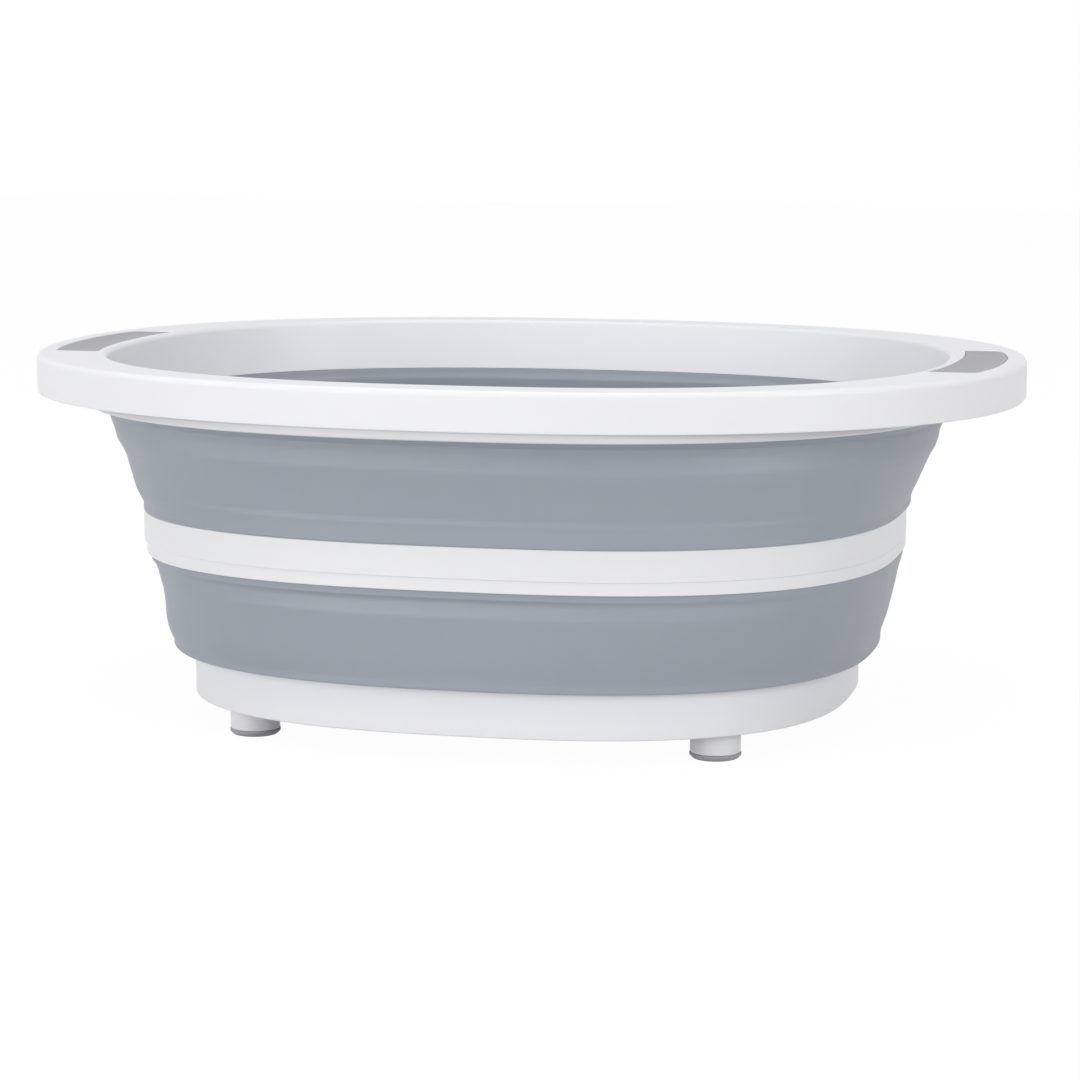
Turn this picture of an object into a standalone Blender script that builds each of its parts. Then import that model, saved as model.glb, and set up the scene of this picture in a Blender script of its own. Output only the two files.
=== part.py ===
"""A collapsible oval washbasin that folds down in two tiers.

A white rim and a white middle ring are joined by grey elastomer walls, and a second
grey wall joins the ring to a white base tray, which stands on legs with rubber pads.
Pressing the rim down flips each wall over, so that the tiers nest. The tray's floor has
a drain with a strainer and a plug that lifts out.

Units are metres, +Z is up, +X runs along the basin, and the origin is on the ground
under the middle of the basin. Ovals are superellipses: |x/a|^n + |y/b|^n = 1.
"""

import math
from dataclasses import dataclass

import bmesh
import bpy

MM = 0.001

# Running and seating gaps
GAP = 0.3 * MM

# Opening of the rim, at its top edge
OPENING_HALF_LENGTH = 177.6 * MM
OPENING_HALF_WIDTH = 141.2 * MM
OPENING_ROUNDNESS = 2.38

# Rim: flange, outer skirt and the inner wall that leans inwards as it goes down
RIM_WIDTH_AT_ENDS = 32.4 * MM
RIM_WIDTH_AT_SIDES = 16.6 * MM
RIM_ROUNDNESS = 2.23
RIM_FLANGE = 3.0 * MM
RIM_SKIRT_HEIGHT = 16.3 * MM
RIM_SKIRT_WALL = 2.4 * MM
RIM_OUTER_ROUND = 2.5 * MM
RIM_INNER_ROUND = 1.0 * MM
RIM_INNER_WALL = 2.2 * MM
RIM_INNER_LEAN = 2.5 * MM
RIM_LIP_BELOW_COLLAR = 2.1 * MM

# Clamp collar under the rim, with the groove that holds the upper wall's bead
COLLAR_BELOW_SKIRT = 4.0 * MM
COLLAR_REACH_AT_ENDS = 6.6 * MM
COLLAR_REACH_AT_SIDES = 12.5 * MM
COLLAR_LEG = 2.4 * MM
COLLAR_SHELF = 2.0 * MM
COLLAR_LEDGE = 2.0 * MM

# Elastomer walls
WALL = 1.9 * MM
BEAD_REACH = 4.5 * MM
BEAD_HEIGHT = 2.0 * MM
NECK_BELOW_COLLAR = 1.2 * MM
UPPER_WALL_HEIGHT = 43.8 * MM
UPPER_CUFF_IN_AT_ENDS = 0.9 * MM
UPPER_CUFF_IN_AT_SIDES = 0.6 * MM
UPPER_CUFF_BELOW_COLLAR = 3.8 * MM
UPPER_HEM_PROUD = 1.0 * MM
UPPER_HEM_HEIGHT = 3.3 * MM
LOWER_WALL_HEIGHT = 42.4 * MM
LOWER_COLLAR_IN = 1.5 * MM
LOWER_COLLAR_HEIGHT = 3.0 * MM
LOWER_SHOULDER_IN = 4.8 * MM
LOWER_SHOULDER_HEIGHT = 9.1 * MM
HEM_OVERHANG_AT_ENDS = 8.8 * MM
HEM_OVERHANG_AT_SIDES = 5.5 * MM
HEM_ROUND = 2.3 * MM
HEM_LIP = 1.6 * MM

# Shares of the run from the hem to the cuff: height, then width
UPPER_WALL_STATIONS = ((0.0, 0.0), (0.12, 0.155), (0.72, 0.77), (0.83, 0.85), (0.9, 0.96), (1.0, 1.0))

# Shares of the run from the lower hem to its shoulder: height, then width
LOWER_WALL_STATIONS = ((0.0, 0.0), (0.25, 0.4), (0.6, 0.78), (1.0, 1.0))

# Middle ring: an outer band round an inner hoop, with the two walls' edges between them
RING_STEP_AT_ENDS = 18.0 * MM
RING_STEP_AT_SIDES = 8.2 * MM
RING_ROUNDNESS = 2.64
RING_HEIGHT = 17.8 * MM
BAND_WALL = 1.8 * MM
BAND_EDGE = 0.5 * MM
HOOP_WALL = 1.6 * MM
HOOP_LIP_HEIGHT = 5.0 * MM
HOOP_LIP_IN = 0.7 * MM
HOOP_TONGUE = 3.4 * MM
WALL_TONGUE = 1.5 * MM

# Base tray
BASE_STEP_AT_ENDS = 19.1 * MM
BASE_STEP_AT_SIDES = 14.1 * MM
BASE_ROUNDNESS = 2.47
BASE_SKIRT = 18.5 * MM
BASE_WALL = 2.6 * MM
BASE_FLANGE = 1.6 * MM
BASE_FLANGE_REACH = 3.2 * MM
BASE_FLOOR = 2.5 * MM
BASE_FLOOR_ABOVE_SKIRT_EDGE = 5.3 * MM
BASE_FLOOR_FILLET = 4.0 * MM
BASE_INNER_LEAN = 0.6 * MM
BASE_EDGE = 1.2 * MM

# Legs and rubber pads
LEG_RADIUS = 10.5 * MM
LEG_STAND = 8.7 * MM
LEG_ANGLE = math.radians(44)
LEG_EDGE = 0.3 * MM
SOCKET_WALL = 2.0 * MM
SOCKET_ABOVE_SKIRT_EDGE = 0.8 * MM
PAD_THICKNESS = 3.0 * MM
PAD_PROUD = 0.4 * MM
PAD_CHAMFER = 1.5 * MM
PAD_PEG_RADIUS = 4.0 * MM
PAD_PEG_LENGTH = 5.0 * MM

# Drain, strainer and plug
DRAIN_RADIUS = 19.0 * MM
DRAIN_TUBE_WALL = 2.2 * MM
DRAIN_TUBE_BELOW_FLOOR = 3.8 * MM
DRAIN_DISH_MARGIN = 4.5 * MM
DRAIN_DISH_DEPTH = 0.8 * MM
DRAIN_DISH_SLOPE = 2.5 * MM
STRAINER_FLANGE = 1.0 * MM
STRAINER_PLATE = 1.6 * MM
STRAINER_RIM_HEIGHT = 1.6 * MM
STRAINER_RIM_WALL = 1.8 * MM
STRAINER_HOLE_RADIUS = 2.4 * MM
STRAINER_HOLE_RINGS = ((12.5 * MM, 8), (5.8 * MM, 4))
PLUG_FLANGE_REACH = 3.4 * MM
PLUG_FLANGE = 1.4 * MM
PLUG_DOME = 0.8 * MM
PLUG_STEM = 4.2 * MM
PLUG_LIP = 1.1 * MM
PLUG_LIP_CLEAR = 1.4 * MM
PLUG_GROOVE = 1.8 * MM
PLUG_GROOVE_DEPTH = 2.0 * MM
PLUG_BAR_LENGTH = 34.0 * MM
PLUG_BAR_WIDTH = 7.0 * MM
PLUG_BAR_HEIGHT = 10.0 * MM
PLUG_BAR_ROUND = 2.5 * MM

# Grip inlays in the rim's ends
GRIP_HALF_LENGTH = 47.0 * MM
GRIP_FROM_OUTER_EDGE = 8.0 * MM
GRIP_FROM_OPENING = 7.0 * MM
GRIP_CORNER = 3.0 * MM
GRIP_POCKET = 1.9 * MM
GRIP_BELOW_RIM = 0.3 * MM
GRIP_PEG_RADIUS = 3.0 * MM
GRIP_PEG_SPACING = 32.0 * MM

# Facets
OVAL_POINTS = 48
ROUND_POINTS = 24
PEG_POINTS = 12
GRIP_EDGE_POINTS = 9
GRIP_CORNER_STEPS = 3
PLUG_BAR_EDGE_STEPS = 2
SMOOTH_BELOW = math.radians(32)

# How far a cutter or a joined shape runs past the face that it meets
PAST = 1.0 * MM

# Heights above the ground, from the pads up
BASE_EDGE_Z = PAD_THICKNESS + LEG_STAND
FLOOR_UNDER_Z = BASE_EDGE_Z + BASE_FLOOR_ABOVE_SKIRT_EDGE
FLOOR_Z = FLOOR_UNDER_Z + BASE_FLOOR
DRAIN_TUBE_Z = FLOOR_UNDER_Z - DRAIN_TUBE_BELOW_FLOOR
HEM_Z = BASE_EDGE_Z + BASE_SKIRT
BASE_FLANGE_UNDER_Z = HEM_Z + HEM_LIP + GAP
BASE_TOP_Z = BASE_FLANGE_UNDER_Z + BASE_FLANGE
RING_Z = HEM_Z + LOWER_WALL_HEIGHT
RING_TOP_Z = RING_Z + RING_HEIGHT
COLLAR_Z = RING_TOP_Z + UPPER_WALL_HEIGHT
SKIRT_Z = COLLAR_Z + COLLAR_BELOW_SKIRT
RIM_Z = SKIRT_Z + RIM_SKIRT_HEIGHT
FLANGE_UNDER_Z = RIM_Z - RIM_FLANGE
LIP_Z = COLLAR_Z - RIM_LIP_BELOW_COLLAR


@dataclass(frozen=True)
class Finish:
    """A surface: its colour as linear RGB and its roughness."""

    colour: tuple
    roughness: float


WHITE_PLASTIC = Finish((0.80, 0.81, 0.83), 0.28)
SATIN_PLASTIC = Finish((0.80, 0.81, 0.83), 0.38)
GREY_ELASTOMER = Finish((0.33, 0.37, 0.41), 0.45)
GRIP_ELASTOMER = Finish((0.36, 0.37, 0.39), 0.5)
PAD_RUBBER = Finish((0.12, 0.125, 0.135), 0.8)


@dataclass(frozen=True)
class Oval:
    """A superellipse in plan, by its half-length, half-width and exponent."""

    a: float
    b: float
    n: float = 2.0

    def inset(self, at_ends, at_sides=None):
        """The oval this far inside; the two ways differ where at_sides is given."""
        return Oval(self.a - at_ends, self.b - (at_ends if at_sides is None else at_sides), self.n)

    def towards(self, other, share):
        """The oval at this share of the way to another."""
        return Oval(
            self.a + share * (other.a - self.a),
            self.b + share * (other.b - self.b),
            self.n + share * (other.n - self.n),
        )

    def point(self, angle):
        """The point at this parameter angle."""
        cos, sin = math.cos(angle), math.sin(angle)
        return (
            self.a * math.copysign(abs(cos) ** (2 / self.n), cos),
            self.b * math.copysign(abs(sin) ** (2 / self.n), sin),
        )

    def half_length_at(self, y):
        """How far the oval reaches along X at this Y."""
        return self.a * (1 - abs(y / self.b) ** self.n) ** (1 / self.n)

    def loop(self, z, count):
        """Points round the oval at this height."""
        return [(*self.point(math.tau * k / count), z) for k in range(count)]


OPENING = Oval(OPENING_HALF_LENGTH, OPENING_HALF_WIDTH, OPENING_ROUNDNESS)
RIM = Oval(
    OPENING_HALF_LENGTH + RIM_WIDTH_AT_ENDS, OPENING_HALF_WIDTH + RIM_WIDTH_AT_SIDES, RIM_ROUNDNESS
)
RING = Oval(
    OPENING_HALF_LENGTH - RING_STEP_AT_ENDS, OPENING_HALF_WIDTH - RING_STEP_AT_SIDES, RING_ROUNDNESS
)
BASE = Oval(RING.a - BASE_STEP_AT_ENDS, RING.b - BASE_STEP_AT_SIDES, BASE_ROUNDNESS)


def circle(radius):
    return Oval(radius, radius)


def clear_scene():
    for obj in list(bpy.data.objects):
        bpy.data.objects.remove(obj, do_unlink=True)


def make_material(name, finish):
    material = bpy.data.materials.new(name)
    material.use_nodes = True
    shader = material.node_tree.nodes["Principled BSDF"]
    shader.inputs["Base Color"].default_value = (*finish.colour, 1.0)
    shader.inputs["Roughness"].default_value = finish.roughness
    shader.inputs["Metallic"].default_value = 0.0
    return material


def make_empty(name, z, parent=None):
    """An empty on the basin's vertical axis, which is the axis of every slide."""
    empty = bpy.data.objects.new(name, None)
    bpy.context.scene.collection.objects.link(empty)
    empty.parent = parent
    empty.location.z = z - (parent.matrix_world.translation.z if parent else 0.0)
    bpy.context.view_layer.update()
    return empty


def finish_object(name, bm, parent, finish):
    """Makes the object of a bmesh in world coordinates, with its origin at its parent's."""
    bmesh.ops.recalc_face_normals(bm, faces=bm.faces)
    mesh = bpy.data.meshes.new(name)
    bm.to_mesh(mesh)
    bm.free()
    if parent:
        mesh.transform(parent.matrix_world.inverted())
    mesh.shade_smooth()
    mesh.set_sharp_from_angle(angle=SMOOTH_BELOW)
    mesh.materials.append(make_material(f"{name}_material", finish))
    obj = bpy.data.objects.new(name, mesh)
    bpy.context.scene.collection.objects.link(obj)
    obj.parent = parent
    return obj


def stacked_loops(bm, loops, closed, offset=(0.0, 0.0)):
    """Skins loops of equal length: closed joins the last to the first, else the ends are capped."""
    rows = [[bm.verts.new((x + offset[0], y + offset[1], z)) for x, y, z in loop] for loop in loops]
    pairs = list(zip(rows, rows[1:] + rows[:1])) if closed else list(zip(rows, rows[1:]))
    for lower, upper in pairs:
        for k, corner in enumerate(lower):
            after = (k + 1) % len(lower)
            bm.faces.new((corner, lower[after], upper[after], upper[k]))
    if not closed:
        bm.faces.new(rows[0][::-1])
        bm.faces.new(rows[-1])


def oval_ring(name, section, parent, finish):
    """A hoop whose section is a closed list of (oval, height)."""
    bm = bmesh.new()
    stacked_loops(bm, [oval.loop(z, OVAL_POINTS) for oval, z in section], closed=True)
    return finish_object(name, bm, parent, finish)


def turned(name, profile, centre, closed, parent, finish):
    """A round piece from (radius, height) pairs about an upright axis at centre."""
    bm = bmesh.new()
    loops = [circle(radius).loop(z, ROUND_POINTS) for radius, z in profile]
    stacked_loops(bm, loops, closed, centre)
    return finish_object(name, bm, parent, finish)


def cylinders(name, centres, radius, low, high, points):
    """A helper mesh of upright cylinders, for a Boolean."""
    bm = bmesh.new()
    for centre in centres:
        loops = [circle(radius).loop(z, points) for z in (low, high)]
        stacked_loops(bm, loops, False, centre)
    return as_helper(finish_object(name, bm, None, SATIN_PLASTIC))


def as_helper(obj):
    obj.hide_render = True
    obj.display_type = "WIRE"
    return obj


def combine(obj, operation, helper):
    modifier = obj.modifiers.new(f"{operation.lower()}_{helper.name}", "BOOLEAN")
    modifier.operation = operation
    modifier.solver = "EXACT"
    modifier.object = helper


def round_middle(radius):
    """How far from each of its faces a rounded edge passes at its middle."""
    return radius * (1 - math.cos(math.pi / 4))


def rim_inner_in(z):
    """How far the inner wall's face has leaned inside the opening at this height."""
    return RIM_INNER_LEAN * (RIM_Z - z) / (RIM_Z - LIP_Z)


def rim_back_in(z):
    """The same for the back of the rim's inner wall."""
    return rim_inner_in(z) - RIM_INNER_WALL


def grip_outline(grow):
    """Corners of a grip in plan, at the +X end: parallel to the rim's two edges, cut square."""
    half = GRIP_HALF_LENGTH + grow
    outer = RIM.inset(GRIP_FROM_OUTER_EDGE - grow)
    inner = OPENING.inset(-GRIP_FROM_OPENING + grow)
    steps = [half * (2 * k / (GRIP_EDGE_POINTS - 1) - 1) for k in range(GRIP_EDGE_POINTS)]
    points = [(outer.half_length_at(y), y) for y in steps]
    return points + [(inner.half_length_at(y), y) for y in reversed(steps)]


def grip_prism(name, side, grow, low, high, parent, finish):
    """A grip's outline, grown, as a plate with rounded corners. side is 1 or -1 along X."""
    bm = bmesh.new()
    rows = [[(side * x, y, z) for x, y in grip_outline(grow)] for z in (low, high)]
    stacked_loops(bm, rows, closed=False)
    bm.verts.ensure_lookup_table()
    corners = [0, GRIP_EDGE_POINTS - 1, GRIP_EDGE_POINTS, 2 * GRIP_EDGE_POINTS - 1]
    uprights = [
        edge
        for edge in bm.edges
        if abs(edge.verts[0].co.z - edge.verts[1].co.z) > 0
        and min(v.index for v in edge.verts) in corners
    ]
    bmesh.ops.bevel(
        bm, geom=uprights, offset=GRIP_CORNER + grow, segments=GRIP_CORNER_STEPS, affect="EDGES"
    )
    return finish_object(name, bm, parent, finish)


def grip_peg_centres(side):
    """Centres of a grip's pegs, midway across its width."""
    outer = RIM.inset(GRIP_FROM_OUTER_EDGE)
    inner = OPENING.inset(-GRIP_FROM_OPENING)
    rows = (-GRIP_PEG_SPACING, 0.0, GRIP_PEG_SPACING)
    return [(side * (outer.half_length_at(y) + inner.half_length_at(y)) / 2, y) for y in rows]


def build_rim(parent):
    """The rim: skirt, flange and leaning inner wall, with a pocket and peg holes at each end."""
    round_off = round_middle(RIM_OUTER_ROUND)
    inner_top = RIM_Z - RIM_INNER_ROUND
    section = [
        (RIM, SKIRT_Z),
        (RIM, RIM_Z - RIM_OUTER_ROUND),
        (RIM.inset(round_off), RIM_Z - round_off),
        (RIM.inset(RIM_OUTER_ROUND), RIM_Z),
        (OPENING.inset(-RIM_INNER_ROUND), RIM_Z),
        (OPENING.inset(rim_inner_in(inner_top)), inner_top),
        (OPENING.inset(rim_inner_in(LIP_Z)), LIP_Z),
        (OPENING.inset(rim_back_in(LIP_Z)), LIP_Z),
        (OPENING.inset(rim_back_in(FLANGE_UNDER_Z)), FLANGE_UNDER_Z),
        (RIM.inset(RIM_SKIRT_WALL), FLANGE_UNDER_Z),
        (RIM.inset(RIM_SKIRT_WALL), SKIRT_Z),
    ]
    rim = oval_ring("rim", section, parent, WHITE_PLASTIC)
    for label, side in (("right", 1), ("left", -1)):
        floor = RIM_Z - GRIP_POCKET
        pocket = grip_prism(f"pocket_{label}", side, GAP, floor, RIM_Z + PAST, None, SATIN_PLASTIC)
        combine(rim, "DIFFERENCE", as_helper(pocket))
        holes = cylinders(
            f"peg_holes_{label}",
            grip_peg_centres(side),
            GRIP_PEG_RADIUS + GAP,
            FLANGE_UNDER_Z - PAST,
            RIM_Z + PAST,
            PEG_POINTS,
        )
        combine(rim, "DIFFERENCE", holes)
    return rim


def build_grip(label, side, parent):
    """A grip inlay: a plate in the rim's pocket, with pegs through the flange."""
    low = RIM_Z - GRIP_POCKET + GAP
    high = RIM_Z - GRIP_BELOW_RIM
    grip = grip_prism(f"grip_{label}", side, 0.0, low, high, parent, GRIP_ELASTOMER)
    pegs = cylinders(
        f"grip_pegs_{label}",
        grip_peg_centres(side),
        GRIP_PEG_RADIUS,
        FLANGE_UNDER_Z,
        (low + high) / 2,
        PEG_POINTS,
    )
    combine(grip, "UNION", pegs)
    return grip


def build_collar(parent):
    """The clamp collar: a leg up to the flange, and a shelf and a ledge that hold the bead."""
    shelf_top = COLLAR_Z + COLLAR_SHELF
    ledge = shelf_top + BEAD_HEIGHT + 2 * GAP
    ledge_top = ledge + COLLAR_LEDGE
    top = FLANGE_UNDER_Z - GAP
    outer = OPENING.inset(-COLLAR_REACH_AT_ENDS, -COLLAR_REACH_AT_SIDES)
    leg = outer.inset(COLLAR_LEG)
    groove = OPENING.inset(-BEAD_REACH - GAP)
    shelf_edge = OPENING.inset(neck_out_in() - GAP)
    section = [
        (outer, COLLAR_Z),
        (outer, top),
        (leg, top),
        (leg, ledge_top),
        (OPENING.inset(rim_back_in(ledge_top) - GAP), ledge_top),
        (OPENING.inset(rim_back_in(ledge) - GAP), ledge),
        (groove, ledge),
        (groove, shelf_top),
        (shelf_edge, shelf_top),
        (shelf_edge, COLLAR_Z),
    ]
    return oval_ring("clamp_collar", section, parent, SATIN_PLASTIC)


def neck_in_in():
    """How far inside the opening the upper wall's neck has its inner face."""
    return rim_back_in(COLLAR_Z - NECK_BELOW_COLLAR) - GAP


def neck_out_in():
    """The same for the neck's outer face."""
    return neck_in_in() - WALL


def build_upper_wall(parent):
    """The upper tier: bead and neck in the collar, a leaning panel, and a hem with a tongue."""
    bead_low = COLLAR_Z + COLLAR_SHELF + GAP
    bead_top = bead_low + BEAD_HEIGHT
    neck_z = COLLAR_Z - NECK_BELOW_COLLAR
    cuff_z = COLLAR_Z - UPPER_CUFF_BELOW_COLLAR
    hem_z = RING_TOP_Z + UPPER_HEM_HEIGHT
    hem = RING.inset(-UPPER_HEM_PROUD)
    cuff = OPENING.inset(UPPER_CUFF_IN_AT_ENDS, UPPER_CUFF_IN_AT_SIDES)
    run = cuff_z - hem_z
    panel = [(hem.towards(cuff, wide), hem_z + high * run) for high, wide in UPPER_WALL_STATIONS]
    tongue_out = RING.inset(BAND_WALL + GAP)
    tongue_in = tongue_out.inset(WALL_TONGUE)
    tongue_z = RING_Z + HOOP_LIP_HEIGHT + GAP
    inner_top = OPENING.inset(rim_back_in(LIP_Z) - GAP)
    section = [
        (OPENING.inset(-BEAD_REACH), bead_top),
        (OPENING.inset(-BEAD_REACH), bead_low),
        (OPENING.inset(neck_out_in()), bead_low),
        (OPENING.inset(neck_out_in()), neck_z),
        *reversed(panel),
        (hem, RING_TOP_Z + GAP),
        (tongue_out, RING_TOP_Z + GAP),
        (tongue_out, tongue_z),
        (tongue_in, tongue_z),
        (tongue_in, RING_TOP_Z + GAP),
        *[(oval.inset(WALL), z) for oval, z in panel[1:]],
        (inner_top, LIP_Z),
        (OPENING.inset(rim_back_in(bead_top) - GAP), bead_top),
    ]
    return oval_ring("upper_wall", section, parent, GREY_ELASTOMER)


def build_band(parent):
    """The middle ring's outer band, which stands on the hoop's lip."""
    low = RING_Z + HOOP_LIP_HEIGHT + GAP
    section = [
        (RING, low),
        (RING, RING_TOP_Z - BAND_EDGE),
        (RING.inset(BAND_EDGE), RING_TOP_Z),
        (RING.inset(BAND_WALL), RING_TOP_Z),
        (RING.inset(BAND_WALL), low),
    ]
    return oval_ring("ring_band", section, parent, WHITE_PLASTIC)


def hoop_face_in():
    """How far inside the ring's outline the hoop's outer face is."""
    return BAND_WALL + WALL_TONGUE + 2 * GAP


def build_hoop(parent):
    """The middle ring's hoop: a wall behind the upper tongue, a lip, and a tongue below."""
    face = RING.inset(hoop_face_in())
    back = face.inset(HOOP_WALL)
    lip_top = RING_Z + HOOP_LIP_HEIGHT
    section = [
        (RING.inset(HOOP_LIP_IN), RING_Z),
        (RING.inset(HOOP_LIP_IN), lip_top),
        (face, lip_top),
        (face, RING_TOP_Z),
        (back, RING_TOP_Z),
        (back, RING_Z - HOOP_TONGUE),
        (face, RING_Z - HOOP_TONGUE),
        (face, RING_Z),
    ]
    return oval_ring("ring_hoop", section, parent, SATIN_PLASTIC)


def build_lower_wall(parent):
    """The lower tier: a slot round the hoop's tongue, a panel, and a hem round the flange."""
    top = RING_Z - GAP
    slot_z = RING_Z - HOOP_TONGUE - GAP
    slot_out = RING.inset(hoop_face_in() - GAP)
    slot_in = RING.inset(hoop_face_in() + HOOP_WALL + GAP)
    collar = RING.inset(LOWER_COLLAR_IN)
    shoulder = RING.inset(LOWER_SHOULDER_IN)
    shoulder_z = RING_Z - LOWER_SHOULDER_HEIGHT
    hem = BASE.inset(-HEM_OVERHANG_AT_ENDS, -HEM_OVERHANG_AT_SIDES)
    hem_side_z = HEM_Z + HEM_ROUND
    round_off = round_middle(HEM_ROUND)
    run = shoulder_z - hem_side_z
    panel = [
        (hem.towards(shoulder, wide), hem_side_z + high * run) for high, wide in LOWER_WALL_STATIONS
    ]
    groove = BASE.inset(-BASE_FLANGE_REACH - GAP)
    cover_z = BASE_TOP_Z + GAP
    section = [
        (collar, top),
        (collar, RING_Z - LOWER_COLLAR_HEIGHT),
        *reversed(panel),
        (hem.inset(round_off), HEM_Z + round_off),
        (hem.inset(HEM_ROUND), HEM_Z),
        (BASE.inset(-GAP), HEM_Z),
        (BASE.inset(-GAP), HEM_Z + HEM_LIP),
        (groove, HEM_Z + HEM_LIP),
        (groove, cover_z),
        (BASE, cover_z),
        (BASE, cover_z + WALL),
        *[(oval.inset(WALL), z + WALL) for oval, z in panel],
        (slot_in.inset(WALL_TONGUE), slot_z),
        (slot_in.inset(WALL_TONGUE), top),
        (slot_in, top),
        (slot_in, slot_z),
        (slot_out, slot_z),
        (slot_out, top),
    ]
    return oval_ring("lower_wall", section, parent, GREY_ELASTOMER)


def leg_centres():
    """Centres of the legs, tucked into the corners of the tray's skirt."""
    x, y = BASE.inset(BASE_WALL + GAP + LEG_RADIUS).point(LEG_ANGLE)
    return {
        "front_left": (-x, -y),
        "front_right": (x, -y),
        "rear_left": (-x, y),
        "rear_right": (x, y),
    }


def build_base_tray(parent):
    """The tray: skirt, top flange, floor with a drain dish, drain tube and leg sockets."""
    wall = BASE.inset(BASE_WALL)
    wall_low = wall.inset(BASE_INNER_LEAN)
    floor_edge = wall_low.inset(BASE_FLOOR_FILLET)
    fillet = round_middle(BASE_FLOOR_FILLET)
    dish = DRAIN_RADIUS + DRAIN_DISH_MARGIN
    dish_z = FLOOR_Z - DRAIN_DISH_DEPTH
    section = [
        (BASE, BASE_EDGE_Z),
        (BASE, BASE_FLANGE_UNDER_Z),
        (BASE.inset(-BASE_FLANGE_REACH), BASE_FLANGE_UNDER_Z),
        (BASE.inset(-BASE_FLANGE_REACH), BASE_TOP_Z),
        (wall.inset(-BASE_EDGE), BASE_TOP_Z),
        (wall, BASE_TOP_Z - BASE_EDGE),
        (wall_low, FLOOR_Z + BASE_FLOOR_FILLET),
        (wall_low.inset(fillet), FLOOR_Z + fillet),
        (floor_edge, FLOOR_Z),
        (circle(dish + DRAIN_DISH_SLOPE), FLOOR_Z),
        (circle(dish), dish_z),
        (circle(DRAIN_RADIUS), dish_z),
        (circle(DRAIN_RADIUS), DRAIN_TUBE_Z),
        (circle(DRAIN_RADIUS + DRAIN_TUBE_WALL), DRAIN_TUBE_Z),
        (circle(DRAIN_RADIUS + DRAIN_TUBE_WALL), FLOOR_UNDER_Z),
        (wall, FLOOR_UNDER_Z),
        (wall, BASE_EDGE_Z),
    ]
    tray = oval_ring("base_tray", section, parent, WHITE_PLASTIC)
    centres = list(leg_centres().values())
    socket = LEG_RADIUS + GAP
    socket_low = BASE_EDGE_Z + SOCKET_ABOVE_SKIRT_EDGE
    bosses = cylinders(
        "socket_bosses",
        centres,
        socket + SOCKET_WALL,
        socket_low,
        FLOOR_UNDER_Z + BASE_FLOOR / 2,
        ROUND_POINTS,
    )
    bores = cylinders(
        "socket_bores", centres, socket, BASE_EDGE_Z - PAST, FLOOR_UNDER_Z, ROUND_POINTS
    )
    combine(tray, "UNION", bosses)
    combine(tray, "DIFFERENCE", bores)
    return tray


def build_leg(label, centre, parent):
    """A leg: a post pressed into its socket, with a blind bore below for the pad's peg."""
    low = PAD_THICKNESS + GAP
    high = FLOOR_UNDER_Z - GAP
    bore = PAD_PEG_RADIUS + GAP
    profile = [
        (bore, PAD_THICKNESS + PAD_PEG_LENGTH + GAP),
        (bore, low),
        (LEG_RADIUS - LEG_EDGE, low),
        (LEG_RADIUS, low + LEG_EDGE),
        (LEG_RADIUS, high - LEG_EDGE),
        (LEG_RADIUS - LEG_EDGE, high),
    ]
    return turned(f"leg_{label}", profile, centre, False, parent, WHITE_PLASTIC)


def build_pad(label, centre, parent):
    """A rubber pad: a chamfered disc with a peg up into the leg."""
    radius = LEG_RADIUS + PAD_PROUD
    profile = [
        (radius - PAD_CHAMFER, 0.0),
        (radius, PAD_CHAMFER),
        (radius, PAD_THICKNESS),
        (PAD_PEG_RADIUS, PAD_THICKNESS),
        (PAD_PEG_RADIUS, PAD_THICKNESS + PAD_PEG_LENGTH),
    ]
    return turned(f"foot_pad_{label}", profile, centre, False, parent, PAD_RUBBER)


def build_strainer(parent):
    """The strainer: a pierced cup pressed into the drain tube from below, up to its flange."""
    flange_top = DRAIN_TUBE_Z - GAP
    low = flange_top - STRAINER_FLANGE
    outer = DRAIN_RADIUS - GAP
    inner = outer - STRAINER_RIM_WALL
    plate_top = low + STRAINER_PLATE
    rim_top = flange_top + STRAINER_RIM_HEIGHT
    profile = [
        (DRAIN_RADIUS + DRAIN_TUBE_WALL, low),
        (DRAIN_RADIUS + DRAIN_TUBE_WALL, flange_top),
        (outer, flange_top),
        (outer, rim_top),
        (inner, rim_top),
        (inner, plate_top),
    ]
    strainer = turned("drain_strainer", profile, (0.0, 0.0), False, parent, SATIN_PLASTIC)
    centres = [
        (ring * math.cos(math.tau * k / count), ring * math.sin(math.tau * k / count))
        for ring, count in STRAINER_HOLE_RINGS
        for k in range(count)
    ]
    holes = cylinders(
        "strainer_holes", centres, STRAINER_HOLE_RADIUS, low - PAST, plate_top + PAST, PEG_POINTS
    )
    combine(strainer, "DIFFERENCE", holes)
    return strainer


def plug_heights():
    """Heights of the plug's seat, groove and foot."""
    seat = FLOOR_Z - DRAIN_DISH_DEPTH + GAP
    foot = seat - PLUG_STEM
    groove = foot + PLUG_LIP
    return seat, groove, foot


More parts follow.
